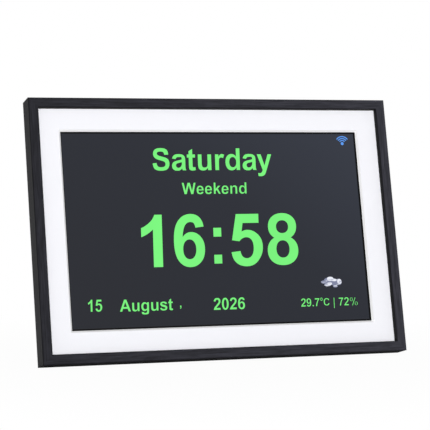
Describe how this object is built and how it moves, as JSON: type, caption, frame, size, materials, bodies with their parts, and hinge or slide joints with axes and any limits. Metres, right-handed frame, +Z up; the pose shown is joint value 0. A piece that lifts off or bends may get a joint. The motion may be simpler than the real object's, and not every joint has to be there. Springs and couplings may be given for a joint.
{
  "type": "digital calendar clock",
  "caption": "Table-top digital calendar clock: a flat lit display behind a white mat in a black wooden frame, with rear keys and a folding leg, also hung on keyholes.",
  "frame": {"origin": "on the floor, midway across the clock and midway between the frame's foremost edge and the leg's foot", "axes": "+X to the right seen from the front, +Y from the front to the back, +Z up"},
  "size_m": [0.2634, 0.0842, 0.1811],
  "materials": {
    "black_wood": "black-stained wood grain, satin",
    "plain_wood": "sawn, unfinished",
    "white_mat_card": "smooth white mat board",
    "display_steel": "zinc-plated sheet",
    "display_glass": "dark display face, satin anti-glare",
    "diffuser_film": "milky film",
    "clear_acrylic": "clear, polished",
    "led_board": "white board with light emitters",
    "circuit_board": "green solder resist",
    "connector_plastic": "ivory moulding",
    "ribbon_film": "white flat cable",
    "chip_resin": "black moulded resin",
    "shield_steel": "tinned shield can",
    "capacitor_aluminium": "drawn can",
    "cell_steel": "satin cell case",
    "black_plastic": "black moulding",
    "contact_brass": "plated contact",
    "black_screw_steel": "black-plated screw",
    "key_plastic": "dark grey moulded key",
    "plunger_plastic": "pale nylon",
    "speaker_paper": "pressed black paper cone",
    "magnet_ferrite": "sintered ferrite",
    "black_rubber": "black rubber",
    "lead_rubber": "black insulated wire",
    "aerial_film": "copper on amber film",
    "cover_plastic": "black fine-textured moulding",
    "pin_steel": "ground steel pin"
  },
  "bodies": {
    "clock": {"frame_rail_top": "black_wood", "frame_rail_bottom": "black_wood", "frame_rail_left": "black_wood", "frame_rail_right": "black_wood", "mat_board": "white_mat_card", "lcd_bezel": "display_steel", "lcd_glass": "display_glass", "backlight_films": "diffuser_film", "light_guide": "clear_acrylic", "led_bar": "led_board", "backlight_tray": "display_steel", "driver_board": "circuit_board", "driver_connector": "connector_plastic", "display_ribbon": "ribbon_film", "corner_blocks": "plain_wood", "display_clamps": "display_steel", "display_clamp_screws": "black_screw_steel", "rear_cover_screws": "black_screw_steel", "main_board": "circuit_board", "processor": "chip_resin", "memory_chips": "chip_resin", "wireless_module": "shield_steel", "board_capacitors": "capacitor_aluminium", "backup_cell_holder": "black_plastic", "backup_cell": "cell_steel", "display_connector": "connector_plastic", "key_ribbon_socket": "connector_plastic", "speaker_connector": "connector_plastic", "dc_jack": "black_plastic", "dc_jack_pin": "contact_brass", "main_board_screws": "black_screw_steel", "key_board": "circuit_board", "key_switches": "black_plastic", "key_board_connector": "connector_plastic", "key_ribbon": "ribbon_film", "key_board_screws": "black_screw_steel", "speaker_basket": "display_steel", "speaker_cone": "speaker_paper", "speaker_magnet": "magnet_ferrite", "speaker_gasket": "black_rubber", "speaker_screws": "black_screw_steel", "speaker_lead": "lead_rubber", "aerial": "aerial_film", "aerial_lead": "lead_rubber", "rear_cover": "cover_plastic", "stand_bracket": "cover_plastic", "stand_bracket_screws": "black_screw_steel", "stand_hinge_pin": "pin_steel"},
    "stand_leg": {"stand_leg": "cover_plastic", "stand_foot_pad": "black_rubber"},
    "key_menu": {"key_menu": "key_plastic", "switch_plunger_menu": "plunger_plastic"},
    "key_up": {"key_up": "key_plastic", "switch_plunger_up": "plunger_plastic"},
    "key_down": {"key_down": "key_plastic", "switch_plunger_down": "plunger_plastic"},
    "key_enter": {"key_enter": "key_plastic", "switch_plunger_enter": "plunger_plastic"},
    "key_power": {"key_power": "key_plastic", "switch_plunger_power": "plunger_plastic"}
  },
  "joints": [
    {"name": "stand_leg_hinge", "type": "hinge", "parent": "clock", "child": "stand_leg", "pos_m": [0, 0.00892, 0.10608], "axis": [1, 0, 0], "range_deg": [-28.7, 0]},
    {"name": "key_menu_press", "type": "slide", "parent": "clock", "child": "key_menu", "axis": [0, -0.9736, 0.2284], "range_m": [0, 0.0005], "stiffness_N_per_m": 1500, "springref_m": -0.0005},
    {"name": "key_up_press", "type": "slide", "parent": "clock", "child": "key_up", "axis": [0, -0.9736, 0.2284], "range_m": [0, 0.0005], "stiffness_N_per_m": 1500, "springref_m": -0.0005},
    {"name": "key_down_press", "type": "slide", "parent": "clock", "child": "key_down", "axis": [0, -0.9736, 0.2284], "range_m": [0, 0.0005], "stiffness_N_per_m": 1500, "springref_m": -0.0005},
    {"name": "key_enter_press", "type": "slide", "parent": "clock", "child": "key_enter", "axis": [0, -0.9736, 0.2284], "range_m": [0, 0.0005], "stiffness_N_per_m": 1500, "springref_m": -0.0005},
    {"name": "key_power_press", "type": "slide", "parent": "clock", "child": "key_power", "axis": [0, -0.9736, 0.2284], "range_m": [0, 0.0005], "stiffness_N_per_m": 1500, "springref_m": -0.0005}
  ]
}
